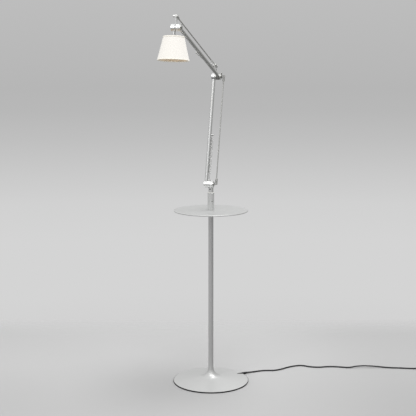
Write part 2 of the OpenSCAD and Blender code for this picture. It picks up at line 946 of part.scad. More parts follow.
module shade_spider() {
    color("#dedbd3")
        on_head()
            translate([0, arm_y, 0])
                union() {
                    hoop(hoop_depth);
                    difference() {
                        translate([0, 0, holder_top])
                            cylinder(r = hub_plate_r, h = hub_plate_t - fit);
                        translate([0, 0, holder_top - 1])
                            cylinder(r = stem_r - 1 + fit, h = 4);
                    }
                    for (a = [0, 120, 240])
                        rotate([0, 0, a])
                            translate([hub_plate_r - 1, 0, holder_top + hub_plate_t / 2 - fit])
                                rotate([0, 90, 0])
                                    cylinder(r = 0.75, h = hoop_r(hoop_depth) - hub_plate_r + 1);
                }
}
module shade_hoop() {
    color("#dedbd3")
        on_head()
            translate([0, arm_y, 0])
                hoop(shade_h - hoop_depth);
}
module shade() {
    color("#f7f1e2")
        on_head()
            translate([0, arm_y, 0])
                rotate_extrude($fn = 96)
                    polygon([[shade_r(0) - shade_t, -shade_drop], [shade_r(0), -shade_drop],
                        [shade_r(shade_h), -shade_drop - shade_h],
                        [shade_r(shade_h) - shade_t, -shade_drop - shade_h]]);
}

// ---- Cord ----

// The route's own points, with a ring about every route_step along it.
function refine(p) = concat([for (i = [0:len(p) - 2])
    let (m = max(1, round(norm(p[i + 1] - p[i]) / route_step)),
        c = curve([p[max(i - 1, 0)], p[i], p[i + 1], p[min(i + 2, len(p) - 1)]], m))
    for (j = [0:m - 1]) c[m + j]], [p[len(p) - 1]]);
module cord_run() {
    color("#232325")
        tube(refine(ROUTE), cord_r, 8, [0, 0, 1]);
}
// A short piece of cord from a to b that leaves and arrives along +Y.
module short_cord(a, b) {
    run = [0, cord_d, 0];
    color("#232325")
        tube(concat([a], curve([a + run, a + 2 * run, b - 2 * run, b - run], 2), [b]), cord_r, 8,
            [0, 0, 1]);
}
module cord_lead() {
    short_cord(switch_far, coil_in);
}
// Radius and height of the coil after u turns: in along the floor, up in half a turn, out on top.
function coil_radius(u) = coil_r - coil_pitch * min(u, coil_turns - u);
function coil_height(u) = floor_z + coil_pitch * min(1, max(0, (u - layer_turns) / climb_turns));
coil_points = concat([coil_in],
    [for (i = [0:coil_turns * 24]) let (u = i / 24)
        [coil_centre[0] - coil_radius(u) * cos(360 * u), coil_centre[1] + coil_radius(u) * sin(360 * u),
            coil_height(u)]],
    [coil_out]);
module cord_coil() {
    color("#232325")
        tube(coil_points, cord_r, 6, [0, 0, 1]);
}
echo(coil_gap = min([for (i = [1:len(coil_points) - 20]) for (j = [i + 18:len(coil_points) - 2])
    norm(coil_points[i] - coil_points[j])]) - cord_d);
module cord_tail() {
    short_cord(coil_out, plug_foot);
}
module rounded_box(len, w, h, r) {
    linear_extrude(h)
        union() {
            translate([-w / 2, r])
                square([w, len - 2 * r]);
            translate([-w / 2 + r, 0])
                square([w - 2 * r, len]);
            for (x = [-1, 1])
                for (y = [r, len - r])
                    translate([x * (w / 2 - r), y])
                        circle(r = r);
        }
}
module switch_bottom() {
    color("#1f1f21")
        translate([switch_foot[0], switch_foot[1], 0.1])
            rounded_box(switch_len, switch_w, switch_split - 0.1, 6);
}
module switch_top() {
    color("#232325")
        difference() {
            translate([switch_foot[0], switch_foot[1], switch_split + switch_gap])
                rounded_box(switch_len, switch_w, switch_h - switch_split - switch_gap, 6);
            translate([switch_foot[0] - rocker_w / 2 - gap,
                switch_foot[1] + (switch_len - rocker_len) / 2 - gap, switch_split - 1])
                cube([rocker_w + 2 * gap, rocker_len + 2 * gap, 20]);
        }
}
module switch_rocker() {
    mid = switch_foot[1] + switch_len / 2;
    color("#39393b")
        difference() {
            translate([switch_foot[0] - rocker_w / 2, mid, rocker_axis_z])
                rotate([0, 90, 0])
                    intersection() {
                        cylinder(r = rocker_len / 2 - gap, h = rocker_w);
                        translate([-8, -rocker_len, -1])
                            cube([9.5, 2 * rocker_len, rocker_w + 2]);
                    }
            translate([switch_foot[0] - rocker_w, mid, rocker_axis_z + 42])
                rotate([0, 90, 0])
                    cylinder(r = 36, h = 2 * rocker_w);
        }
}
module plug_body() {
    color("#232325")
        translate([plug_foot[0], plug_foot[1], plug_foot[2] - plug_h / 2])
            union() {
                translate([0, 10, 0])
                    rounded_box(plug_len - 10, plug_w, plug_h, 5);
                translate([0, 0, plug_h / 2])
                    rotate([-90, 0, 0])
                        cylinder(r1 = 4.2, r2 = 6.5, h = 11);
            }
}
module plug_pins() {
    color("#d9c79a")
        for (x = [-1, 1])
            translate([plug_foot[0] + x * contact_gap / 2, plug_foot[1] + plug_len, plug_foot[2]])
                rotate([-90, 0, 0])
                    cylinder(r = 2, h = contact_len);
}

base_shell();
ballast();
base_felt();
pole_nut();
cord_grommet();
pole();
base_lead();
table_top();
table_collar();
collar_screw();
socket_sleeve();
sleeve_screw();
swivel_bush();
swivel_body();
neck_screw();
neck_lead();
hub_axle();
hub_washer();
hub_lug();
lower_arm_foot();
lower_arm_tube();
lower_arm_top();
lower_spring_pin();
lower_arm_lead();
lower_spring();
lower_tie_rod();
lower_tie_pins();
elbow_axle();
elbow_nut();
elbow_knob();
elbow_washer();
elbow_lever();
elbow_lug();
upper_arm_foot();
upper_arm_tube();
upper_arm_tip();
upper_spring_pin();
upper_arm_lead();
upper_spring();
upper_tie_rod();
upper_tie_pins();
head_axle();
head_lever();
head_barrel();
head_stem();
lampholder();
bulb();
shade_spider();
shade_hoop();
shade();
cord_run();
switch_bottom();
switch_top();
switch_rocker();
cord_lead();
cord_coil();
cord_tail();
plug_body();
plug_pins();
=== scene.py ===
import math

import bpy
from mathutils import Matrix, Vector


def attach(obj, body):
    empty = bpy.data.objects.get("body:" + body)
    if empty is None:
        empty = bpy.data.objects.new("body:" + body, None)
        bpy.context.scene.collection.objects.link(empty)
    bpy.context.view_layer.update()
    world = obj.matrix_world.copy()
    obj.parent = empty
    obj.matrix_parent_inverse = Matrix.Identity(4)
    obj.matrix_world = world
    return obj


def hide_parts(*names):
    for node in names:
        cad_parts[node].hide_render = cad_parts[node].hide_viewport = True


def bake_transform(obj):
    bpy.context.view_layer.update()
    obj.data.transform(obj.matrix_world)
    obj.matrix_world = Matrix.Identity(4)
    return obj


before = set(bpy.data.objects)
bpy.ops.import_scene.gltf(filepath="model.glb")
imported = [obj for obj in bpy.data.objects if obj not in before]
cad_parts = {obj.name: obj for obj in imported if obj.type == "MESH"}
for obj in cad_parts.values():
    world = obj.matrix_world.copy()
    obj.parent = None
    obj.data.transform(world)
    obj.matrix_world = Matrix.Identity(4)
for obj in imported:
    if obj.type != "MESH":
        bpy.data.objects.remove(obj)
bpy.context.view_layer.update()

scene = bpy.context.scene
MM = 0.001

# The camera stands where the photograph was taken from, in metres, with its lens in millimetres.
TOWARDS_CAMERA = Vector((0.9397, 0.3420, 0))
CAMERA_RIGHT = Vector((-0.3420, 0.9397, 0))
CAMERA_DISTANCE = 3.857
CAMERA_HEIGHT = 1.352
CAMERA_PITCH = math.radians(8.47)
FOCAL_LENGTH = 77.88
FILM_WIDTH = 36
FILM_SHIFT = -0.0069

# Lamps, in metres and watts: how far towards the camera, to its right and up, and their size.
LAMPS = {
    "top light": ((-0.2, 0.9, 4.5), (2.4, 2.4), 112),
    "front light": ((1.9, 0.0, 4.3), (2.6, 1.6), 42),
    "left light": ((2.6, -2.2, 2.7), (0.5, 2.0), 11),
}
LAMPS_AIM = Vector((0, 0, 0.9))

# The floor, in metres: it fades out from these distances on, at these rates. Its grey levels
# lie between the first two, and go down to the third towards the camera and to the right, as
# painted shade.
FLOOR_LEVELS = (188, 194)
FLOOR_PAINTED_SHADE_LEVEL = 169
FLOOR_SIZE = 5
FLOOR_GAP = 0.0004
FADE_BEHIND = 0.72
FADE_BEHIND_RATE = 3.4
FADE_WIDE = 1.7
FADE_WIDE_RATE = 1.6

# Grey levels of the backdrop from bottom to top, and the height of a direction at which they
# start and over which they run.
BACKDROP = ((0.0, 203), (0.14, 208), (0.24, 212), (0.36, 212), (0.44, 209), (0.50, 202),
            (0.58, 191), (0.64, 184), (0.69, 182), (0.74, 184), (0.88, 189), (1.0, 190))
BACKDROP_LOW = -0.36
BACKDROP_RISE = 0.5
# Grey levels of the walls that metal mirrors, from straight down at -1 to straight up at 1, and
# the level that they go down to on the right.
MIRRORED_WALLS = ((-1.0, 118), (-0.5, 128), (-0.24, 182), (0.0, 184), (0.12, 168), (0.22, 176),
                  (0.34, 222), (0.5, 254), (1.0, 254))
MIRRORED_DARK_LEVEL = 90
# Grey levels of the soft light from the left and from the right.
SOFT_LEFT_LEVEL = 222
SOFT_RIGHT_LEVEL = 176

# The arm in its own plane, in millimetres: its pivots are x and z.
HUB = Vector((0, 881))
LOWER_ARM = 470
UPPER_ARM = 490
LOWER_LEAN = math.radians(12)
UPPER_RISE = math.radians(22.5)
HEAD_TILT = math.radians(5)
LOWER_WAY = Vector((-math.sin(LOWER_LEAN), math.cos(LOWER_LEAN)))
UPPER_WAY = Vector((math.cos(UPPER_RISE), math.sin(UPPER_RISE)))
ELBOW = HUB + LOWER_ARM * LOWER_WAY
HEAD = ELBOW + UPPER_ARM * UPPER_WAY
TOP_PIN = HEAD + Vector((0, 44))
TOP_PIN_Y = -24.6
ARM_Y = -21.5
NECK_R = 11.3
NECK_SCREW_Z = HUB.y - 20

# Springs, in millimetres, with the degrees round a pin through which a hook's wire runs.
WIRE_R = 0.8
CURL_R = 4.2
SPRING_PIN_R = 2.5
HOOK_PLAY = 0.2
HOOK_SWEEP = range(-35, 296, 15)
CURL_SIDES = 16

# Shade, in millimetres, and its cloth laid flat, in metres.
SHADE_DROP = 34
SHADE_TOP_R = 41
SHADE_BOTTOM_R = 63
SHADE_H = 92
SHADE_SKIN = 1.0
SHADE_WAIST = 0.35
SHADE_SLOPE = (SHADE_BOTTOM_R - SHADE_TOP_R) / SHADE_H
SHADE_SIDES = 96
TRIM_H = 4.0
TRIM_OVERLAP = 0.4
WARP_PITCH = 0.00062
WEFT_PITCH = 0.00070

# Cord, in millimetres, and its length in metres. Its route runs from the gland's tip to the
# switch, through the same points as the cord's solids, and ends along y at LEAD_X.
CORD_R = 3
FLOOR_Z = 3.05
EXIT_ANGLE = math.radians(139.5)
EXIT_WAY = Vector((math.cos(EXIT_ANGLE), math.sin(EXIT_ANGLE), 0))
GLAND_Z = 5.2
RIM_R = 167
RELIEF_LEN = 22
EXIT = (RIM_R + RELIEF_LEN) * EXIT_WAY + Vector((0, 0, GLAND_Z))
LEAD_X = -470
SWITCH_FOOT = Vector((LEAD_X, 866, 8))
SWITCH_MIDDLE = Vector((LEAD_X, 897, 5.2))
SWITCH_FAR = Vector((LEAD_X, 928, 8))
ROUTE = [
    EXIT, EXIT + 6 * EXIT_WAY, (-158, 135, 4.1), (-170, 146, 3.3), (-186, 163, FLOOR_Z),
    (-202, 184, FLOOR_Z), (-212, 205, FLOOR_Z), (-222, 228, FLOOR_Z), (-246, 252, FLOOR_Z),
    (-282, 274, FLOOR_Z), (-310, 296, FLOOR_Z), (-328, 318, FLOOR_Z), (-334, 341, FLOOR_Z),
    (-329, 370, FLOOR_Z), (-336, 410, FLOOR_Z), (-358, 448, FLOOR_Z), (-370, 482, FLOOR_Z),
    (-374, 512, FLOOR_Z), (-380, 548, 4), (-394, 572, 7), (-406, 600, 9), (-416, 632, 9),
    (-428, 662, 6.5), (-437, 692, 4), (-444, 730, FLOOR_Z), (-455, 770, FLOOR_Z),
    (-464, 815, FLOOR_Z), (-468, 840, 5), (LEAD_X, 860, 8), SWITCH_FOOT,
]
COIL_R = 45
COIL_PITCH = 6.7
LAYER_TURNS = 2.75
CLIMB_TURNS = 0.5
COIL_TURNS = 2 * LAYER_TURNS + CLIMB_TURNS
COIL_STEPS = 24
COIL_CENTRE = Vector((LEAD_X + COIL_R, 990))
COIL_IN = Vector((LEAD_X, 984, FLOOR_Z))
COIL_OUT = Vector((LEAD_X, 996, FLOOR_Z + COIL_PITCH))
PLUG_FOOT = Vector((LEAD_X, 1040, 7.2))

# Colours of the metal, rubber and plastic.
LACQUER = (0.60, 0.605, 0.60, 1)
# The table has the foot's lacquer made darker: painted shade.
TABLE_SHADED_LACQUER = (0.54, 0.545, 0.54, 1)
# The sleeve has the foot's lacquer made lighter: painted light.
SLEEVE_LIT_LACQUER = (0.70, 0.705, 0.70, 1)
POLISHED = (0.88, 0.885, 0.88, 1)
# The lower tube has the arms' aluminium made lighter: a painted highlight.
LOWER_TUBE_LIT_METAL = (0.95, 0.955, 0.95, 1)
UPPER_TUBE_METAL = (0.83, 0.83, 0.81, 1)
POLE_METAL = (0.66, 0.66, 0.66, 1)
ROD_METAL = (0.7, 0.7, 0.68, 1)
SPRING_METAL = (0.55, 0.55, 0.54, 1)
# Zinc's grey made dark: on the upper arm's foot it is painted shade; the axles and the nut are
# zinc-plated.
ZINC_AND_SHADE_GREY = (0.36, 0.36, 0.345, 1)
STEEL = (0.62, 0.62, 0.61, 1)
BLACKENED_STEEL = (0.05, 0.05, 0.05, 1)
BRASS = (0.72, 0.56, 0.30, 1)
# Black of rubber, also used as painted shadow in the neck screw's hole.
RUBBER_AND_SHADE_BLACK = (0.010, 0.010, 0.010, 1)
FLEX_BLACK = (0.010, 0.010, 0.011, 1)
BLACK_PLASTIC = (0.014, 0.014, 0.015, 1)
NYLON = (0.72, 0.71, 0.67, 1)
ENAMEL = (0.80, 0.79, 0.75, 1)


def deselect():
    bpy.ops.object.select_all(action="DESELECT")


def take(piece):
    """Selects one piece and makes it active."""
    deselect()
    piece.select_set(True)
    bpy.context.view_layer.objects.active = piece


def settle(piece, place):
    """Puts a finished piece where it belongs, with its place in its mesh."""
    piece.matrix_world = place
    take(piece)
    bpy.ops.object.transform_apply(location=True, rotation=True, scale=True)


def in_arm_plane(at, angle, y=0):
    """The place of a piece drawn up its own z, set in the arm's plane at [x, z] in millimetres."""
    return (Matrix.Translation(Vector((at[0], 0, at[1])) * MM)
            @ Matrix.Rotation(angle, 4, "Y") @ Matrix.Translation((0, y * MM, 0)))


ON_HEAD = in_arm_plane(HEAD, -HEAD_TILT, ARM_Y)
AT_RIM = (Matrix.Rotation(EXIT_ANGLE, 4, "Z") @ Matrix.Translation((0, 0, GLAND_Z * MM))
          @ Matrix.Rotation(math.pi / 2, 4, "Y") @ Matrix.Translation((0, 0, RIM_R * MM)))
ON_TOP_PIN = (Matrix.Translation(Vector((TOP_PIN.x, TOP_PIN_Y, TOP_PIN.y)) * MM)
              @ Matrix.Rotation(-math.pi / 2, 4, "X"))
ON_NECK = (Matrix.Translation(Vector((NECK_R, 0, NECK_SCREW_Z)) * MM)
           @ Matrix.Rotation(math.pi / 2, 4, "Y"))


# ---- Nodes and colours ----

class Value:
    """A number or a colour that changes over a surface, for arithmetic in Python."""

    def __init__(self, look, socket):
        self.look = look
        self.socket = socket

    def maths(self, operation, *terms):
        return self.look.node("ShaderNodeMath", {"operation": operation}, dict(enumerate(terms)))

    def __add__(self, other):
        return self.maths("ADD", self, other)

    def __radd__(self, other):
        return self.maths("ADD", other, self)

    def __sub__(self, other):
        return self.maths("SUBTRACT", self, other)

    def __rsub__(self, other):
        return self.maths("SUBTRACT", other, self)

    def __mul__(self, other):
        return self.maths("MULTIPLY", self, other)

    def __rmul__(self, other):
        return self.maths("MULTIPLY", other, self)

    def __truediv__(self, other):
        return self.maths("DIVIDE", self, other)

    def __rtruediv__(self, other):
        return self.maths("DIVIDE", other, self)

    def __pow__(self, other):
        return self.maths("POWER", self, other)

    def __rpow__(self, other):
        return self.maths("POWER", other, self)

    def sine(self):
        return self.maths("SINE", self)

    def or_more(self, other):
        """The larger of two values."""
        return self.maths("MAXIMUM", self, other)

    def sway(self, width):
        """Moves about nought, for a value that moves about a half."""
        return (self - 0.5) * width


class Look:
    """The node tree of a material or of the room, with the nodes that feed its shader."""

    def __init__(self, owner):
        owner.use_nodes = True
        self.tree = owner.node_tree
        self.tree.nodes.clear()

    def node(self, kind, settings, inputs, output=0):
        """Adds a node and gives its output, or the node itself where output is None."""
        made = self.tree.nodes.new(kind)
        for name, value in settings.items():
            if name == "stops":
                self.set_stops(made.color_ramp, value)
            else:
                setattr(made, name, value)
        for name, value in inputs.items():
            self.feed(made.inputs[name], value)
        return made if output is None else Value(self, made.outputs[output])

    def set_stops(self, ramp, stops):
        """Sets a ramp's stops from places and grey levels."""
        for i, (at, level) in enumerate(stops):
            stop = ramp.elements[i] if i < 2 else ramp.elements.new(at)
            stop.position = at
            stop.color = tone(level)

    def feed(self, socket, value):
        if isinstance(value, Value):
            self.tree.links.new(value.socket, socket)
        else:
            socket.default_value = value

    def parts(self, vector):
        """The x, y and z of a vector."""
        split = self.node("ShaderNodeSeparateXYZ", {}, {0: vector}, None)
        return [Value(self, socket) for socket in split.outputs]

    def mix(self, factor, a, b):
        return self.node("ShaderNodeMix", {"data_type": "RGBA"}, {0: factor, 6: a, 7: b}, 2)

    def ramped(self, value, start, end, top):
        """Rises smoothly from 0 at start to top at end."""
        return self.node("ShaderNodeMapRange", {"interpolation_type": "SMOOTHSTEP"}, {
            "Value": value, "From Min": start, "From Max": end, "To Min": 0.0, "To Max": top})


class Finish(Look):
    """A material with one surface shader."""

    def __init__(self, name):
        self.material = bpy.data.materials.new(name)
        super().__init__(self.material)
        self.place = self.node("ShaderNodeTexCoord", {}, {}, "Object")
        self.shader = self.node("ShaderNodeBsdfPrincipled", {}, {})
        self.end = self.node("ShaderNodeOutputMaterial", {}, {"Surface": self.shader}, None)

    def surface(self, **values):
        """Feeds the shader's sockets, whose names have spaces for underscores."""
        for name, value in values.items():
            self.feed(self.shader.socket.node.inputs[name.replace("_", " ")], value)
        return self.material

    def mapped(self, scale, rotation=(0, 0, 0), vector=None):
        return self.node("ShaderNodeMapping", {}, {
            "Vector": vector or self.place, "Scale": scale, "Rotation": rotation})

    def noise(self, scale, vector=None, detail=2.0, rough=0.5):
        return self.node("ShaderNodeTexNoise", {}, {
            "Vector": vector or self.place, "Scale": scale, "Detail": detail, "Roughness": rough})

    def bump(self, height, strength, distance):
        return self.node("ShaderNodeBump", {}, {
            "Height": height, "Strength": strength, "Distance": distance})


def along(way, x, y):
    """How far a level place or direction reaches along a way."""
    return x * way.x + y * way.y


def tone(level, cast=(1, 1, 1)):
    """The colour of a grey level from 0 to 255 as it is seen, with a slight cast."""
    part = level / 255
    linear = part / 12.92 if part <= 0.04045 else ((part + 0.055) / 1.055) ** 2.4
    return (*(linear * c for c in cast), 1)


def worn(tint, share=0.95):
    """A tint where handling has dulled it."""
    return (*(c * share for c in tint[:3]), 1)


# ---- Camera, floor and light ----

def stand_camera():
    lens = bpy.data.cameras.new("camera")
    lens.lens = FOCAL_LENGTH
    lens.sensor_width = FILM_WIDTH
    lens.shift_x = FILM_SHIFT
    camera = bpy.data.objects.new("camera", lens)
    scene.collection.objects.link(camera)
    camera.location = CAMERA_DISTANCE * TOWARDS_CAMERA + Vector((0, 0, CAMERA_HEIGHT))
    looks_at = -math.cos(CAMERA_PITCH) * TOWARDS_CAMERA - Vector((0, 0, math.sin(CAMERA_PITCH)))
    camera.rotation_euler = looks_at.to_track_quat("-Z", "Y").to_euler()
    scene.camera = camera


def hang_lamps():
    for name, ((near, right, height), size, power) in LAMPS.items():
        light = bpy.data.lights.new(name, "AREA")
        light.shape = "RECTANGLE"
        light.size, light.size_y = size
        light.energy = power
        lamp = bpy.data.objects.new(name, light)
        scene.collection.objects.link(lamp)
        lamp.location = near * TOWARDS_CAMERA + right * CAMERA_RIGHT + Vector((0, 0, height))
        lamp.rotation_euler = (LAMPS_AIM - lamp.location).to_track_quat("-Z", "Y").to_euler()


def lay_floor():
    """A wide pale floor that fades into the background behind the object."""
    deselect()
    bpy.ops.mesh.primitive_plane_add(size=FLOOR_SIZE, location=(0, 0, -FLOOR_GAP))
    floor = bpy.context.object
    floor.name = "floor"
    look = Finish("floor")
    x, y, _ = look.parts(look.place)
    near = along(TOWARDS_CAMERA, x, y)
    behind = (near * -1 - FADE_BEHIND) * FADE_BEHIND_RATE
    wide = ((x * x + y * y) ** 0.5 - FADE_WIDE) * FADE_WIDE_RATE
    fade = look.node("ShaderNodeClamp", {}, {0: behind.or_more(wide)})
    speckle = look.noise(160.0, detail=4.0, rough=0.7)
    cloud = look.noise(2.2)
    even = look.mix(cloud * 0.5 + speckle * 0.5, *map(tone, FLOOR_LEVELS))
    # Painted shade: the floor's colour darkens towards the camera and to the right.
    painted_shade = (look.ramped(near, start=-0.35, end=0.4, top=0.4)
              + look.ramped(along(CAMERA_RIGHT, x, y), start=0.15, end=0.9, top=0.5))
    look.surface(Base_Color=look.mix(painted_shade, even, tone(FLOOR_PAINTED_SHADE_LEVEL)), Roughness=0.75,
                 Specular_IOR_Level=0.15)
    clear = look.node("ShaderNodeBsdfTransparent", {}, {})
    shown = look.node("ShaderNodeMixShader", {}, {0: fade, 1: look.shader, 2: clear})
    look.feed(look.end.inputs["Surface"], shown)
    floor.data.materials.append(look.material)
    floor.visible_glossy = False


def light_room():
    """A plain grey room: a backdrop for the camera, walls that metal mirrors, and soft light."""
    room = bpy.data.worlds.new("room")
    scene.world = room
    look = Look(room)
    x, y, z = look.parts(look.node("ShaderNodeTexCoord", {}, {}, "Generated"))
    seen = look.node("ShaderNodeValToRGB", {"stops": BACKDROP},
                     {0: (z - BACKDROP_LOW) / BACKDROP_RISE})
    walls = look.node("ShaderNodeValToRGB", {
        "stops": [((height + 1) / 2, level) for height, level in MIRRORED_WALLS]},
        {0: (z + 1) / 2})
    right = along(CAMERA_RIGHT, x, y)
    dark = look.ramped(right, start=0.2, end=0.85, top=0.45)
    mirrored = look.mix(dark, walls, tone(MIRRORED_DARK_LEVEL, cast=(0.97, 1, 0.95)))
    ambient = look.mix(look.ramped(right, start=-0.6, end=0.6, top=1.0),
                       tone(SOFT_LEFT_LEVEL), tone(SOFT_RIGHT_LEVEL))
    rays = look.node("ShaderNodeLightPath", {}, {}, None)
    camera_ray, glossy_ray, clear_ray = [
        Value(look, rays.outputs[f"Is {kind} Ray"])
        for kind in ("Camera", "Glossy", "Transmission")]
    shown = look.mix(camera_ray + clear_ray, look.mix(glossy_ray, ambient, mirrored), seen)
    back = look.node("ShaderNodeBackground", {}, {0: shown})
    look.node("ShaderNodeOutputWorld", {}, {0: back}, None)


# ---- Finishes ----

def satin_metal(name, tint, rough):
    """Bead-blasted and polished pieces: pale, smooth, with faint handling marks."""
    look = Finish(name)
    grain = look.noise(3200.0)
    smudge = look.noise(22.0, detail=3.0)
    return look.surface(
        Base_Color=look.mix(grain * 0.3 + smudge * 0.7, worn(tint), tint), Metallic=0.92,
        Roughness=rough + grain.sway(0.03) + smudge.sway(0.06),
        Normal=look.bump(grain, strength=0.03, distance=0.000005))


def lacquered_metal(name, tint, rough):
    """Silver lacquer: half paint and half metal, with a very fine fleck."""
    look = Finish(name)
    fleck = look.noise(3600.0)
    smudge = look.noise(16.0, detail=3.0)
    return look.surface(
        Base_Color=look.mix(fleck * 0.4 + smudge * 0.6, worn(tint), tint), Metallic=0.5,
        Roughness=rough + fleck.sway(0.04) + smudge.sway(0.06), Coat_Weight=0.1,
        Coat_Roughness=0.3, Normal=look.bump(fleck, strength=0.04, distance=0.000006))


def turned_metal(name, tint, rough, pitch=0.0006):
    """Metal turned on a lathe: faint rings about the pole's axis, pitch metres apart."""
    look = Finish(name)
    x, y, _ = look.parts(look.place)
    ring = look.node("ShaderNodeTexNoise", {"noise_dimensions": "1D"}, {
        "W": (x * x + y * y) ** 0.5 / pitch, "Scale": 1.0, "Detail": 3.0, "Roughness": 0.7})
    smudge = look.noise(14.0, detail=3.0)
    return look.surface(
        Base_Color=look.mix(ring * 0.4 + smudge * 0.6, worn(tint, 0.96), tint), Metallic=0.5,
        Roughness=rough + ring.sway(0.05) + smudge.sway(0.06),
        Normal=look.bump(ring, strength=0.05, distance=0.000006))


def drawn_metal(name, tint, rough, turn=0.0, metal=1.0):
    """Tube or rod drawn along its own length, which leans by turn in the arm's plane."""
    look = Finish(name)
    lengthwise = look.mapped((900, 900, 14), rotation=(0, -turn, 0))
    streak = look.noise(1.0, lengthwise, rough=0.6)
    smudge = look.noise(18.0, detail=3.0)
    return look.surface(
        Base_Color=look.mix(streak, worn(tint), tint), Metallic=metal,
        Roughness=rough + streak.sway(0.06) + smudge.sway(0.06),
        Normal=look.bump(streak, strength=0.02, distance=0.000006))


def blasted_metal(name, tint, rough):
    """Cast or milled pieces with a fine even grain."""
    look = Finish(name)
    grain = look.noise(2600.0)
    smudge = look.noise(30.0, detail=3.0)
    return look.surface(
        Base_Color=look.mix(grain * 0.4 + smudge * 0.6, worn(tint, 0.94), tint), Metallic=1.0,
        Roughness=rough + grain.sway(0.06) + smudge.sway(0.08),
        Normal=look.bump(grain, strength=0.06, distance=0.000008))


def moulded(name, tint, rough, grain=1500.0, gloss=0.5):
    """Moulded plastic or rubber with a light texture."""
    look = Finish(name)
    fine = look.noise(grain, detail=3.0)
    rubbed = look.noise(35.0, detail=3.0)
    lighter = (*(min(1, c * 1.25 + 0.006) for c in tint[:3]), 1)
    return look.surface(
        Base_Color=look.mix(fine * 0.3 + rubbed * 0.5, tint, lighter),
        Roughness=rough + fine.sway(0.10) + rubbed.sway(0.12), Specular_IOR_Level=gloss,
        Normal=look.bump(fine, strength=0.25, distance=0.00005))


def felt_finish():
    look = Finish("felt")
    fluff = look.noise(1800.0, detail=5.0, rough=0.75)
    return look.surface(
        Base_Color=look.mix(fluff, (0.012, 0.012, 0.013, 1), (0.045, 0.045, 0.048, 1)),
        Roughness=0.95, Sheen_Weight=0.3, Normal=look.bump(fluff, strength=0.6, distance=0.0003))


def cast_finish():
    look = Finish("cast weight")
    sand = look.noise(420.0, detail=5.0, rough=0.65)
    return look.surface(
        Base_Color=look.mix(sand, (0.018, 0.018, 0.02, 1), (0.05, 0.05, 0.055, 1)),
        Metallic=0.4, Roughness=0.6 + sand.sway(0.3),
        Normal=look.bump(sand, strength=0.5, distance=0.0004))


def opal_finish():
    look = Finish("opal glass")
    haze = look.noise(60.0, detail=3.0)
    return look.surface(
        Base_Color=look.mix(haze, (0.90, 0.885, 0.85, 1), (0.96, 0.95, 0.92, 1)),
        Roughness=0.22 + haze * 0.08, Coat_Weight=0.4)


def cloth_finish(name, thread, gap, slub, painted_glow=0.0):
    """Plain-woven cloth on the shade, from the colours of its thread, the gaps between threads
    and its thick places; the threads follow its own map, in metres."""
    look = Finish(name)
    chart = look.node("ShaderNodeUVMap", {"uv_map": "cloth"}, {})
    u, v, _ = look.parts(chart)
    warp = (u * (2 * math.pi / WARP_PITCH)).sine()
    weft = (v * (2 * math.pi / WEFT_PITCH)).sine()
    weave = warp * weft * 0.5 + 0.5
    across = look.noise(1.0, look.mapped((90, 2400, 1), vector=chart), detail=3.0)
    upright = look.noise(1.0, look.mapped((2400, 90, 1), vector=chart), detail=3.0)
    thick = across * 0.5 + upright * 0.5
    # painted_glow is painted light: the cloth shines with its thread's colour though the bulb is
    # unlit.
    if painted_glow:
        look.surface(Emission_Color=thread, Emission_Strength=painted_glow)
    return look.surface(
        Base_Color=look.mix((thick - 0.35) * 0.7, look.mix(weave, gap, thread), slub),
        Roughness=0.9, Sheen_Weight=0.15,
        Normal=look.bump(weave * 0.6 + thick * 0.4, strength=0.25, distance=0.00005))


def paint_nodes(flex, rubber, silver):
    """Gives every CAD node its finish."""
    upper_turn = math.pi / 2 - UPPER_RISE
    looks = {
        turned_metal("spun foot", LACQUER, rough=0.42): "base_shell",
        # Painted shade: the table has the foot's lacquer, darkened.
        turned_metal("spun table", TABLE_SHADED_LACQUER, rough=0.36): "table_top",
        drawn_metal("pole aluminium", POLE_METAL, rough=0.32, metal=0.62): "pole",
        # Painted light: the sleeve, the table's collar and the head's lever have the foot's
        # lacquer, lightened.
        lacquered_metal("silver lacquer", SLEEVE_LIT_LACQUER, rough=0.36): (
            "socket_sleeve table_collar head_lever"),
        # Painted highlight: the lower tube has the upper tube's aluminium, lightened.
        drawn_metal("lower tube aluminium", LOWER_TUBE_LIT_METAL, rough=0.22, turn=-LOWER_LEAN): (
            "lower_arm_tube"),
        drawn_metal("upper tube aluminium", UPPER_TUBE_METAL, rough=0.32, turn=upper_turn): (
            "upper_arm_tube"),
        silver: ("swivel_body hub_lug lower_arm_foot lower_arm_top elbow_knob elbow_lever"
                 " elbow_lug upper_arm_tip head_barrel head_stem"),
        # Painted shade on the upper arm's foot, which is darkened; the axles and the elbow's nut
        # have zinc plating's grey.
        satin_metal("zinc grey and painted shade", ZINC_AND_SHADE_GREY, rough=0.34): (
            "upper_arm_foot elbow_axle elbow_nut head_axle hub_axle"),
        drawn_metal("lower rod", ROD_METAL, rough=0.28, turn=-LOWER_LEAN): "lower_tie_rod",
        drawn_metal("upper rod", ROD_METAL, rough=0.28, turn=upper_turn): "upper_tie_rod",
        blasted_metal("bright steel", STEEL, rough=0.24): (
            "pole_nut lower_spring_pin lower_tie_pins upper_tie_pins upper_spring_pin"),
        blasted_metal("black steel", BLACKENED_STEEL, rough=0.4): (
            "collar_screw sleeve_screw neck_screw"),
        blasted_metal("plug brass", BRASS, rough=0.22): "plug_pins",
        cast_finish(): "ballast",
        felt_finish(): "base_felt",
        rubber: "cord_grommet",
        flex: "base_lead neck_lead lower_arm_lead upper_arm_lead",
        moulded("white nylon", NYLON, rough=0.45): "swivel_bush hub_washer elbow_washer",
        moulded("white enamel", ENAMEL, rough=0.3, grain=900.0): (
            "lampholder shade_spider shade_hoop"),
        opal_finish(): "bulb",
        moulded("black plastic", BLACK_PLASTIC, rough=0.38, grain=2200.0): (
            "switch_bottom switch_top switch_rocker plug_body"),
    }
    for material, nodes in looks.items():
        for name in nodes.split():
            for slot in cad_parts[name].material_slots:
                slot.material = material


# ---- Pieces ----

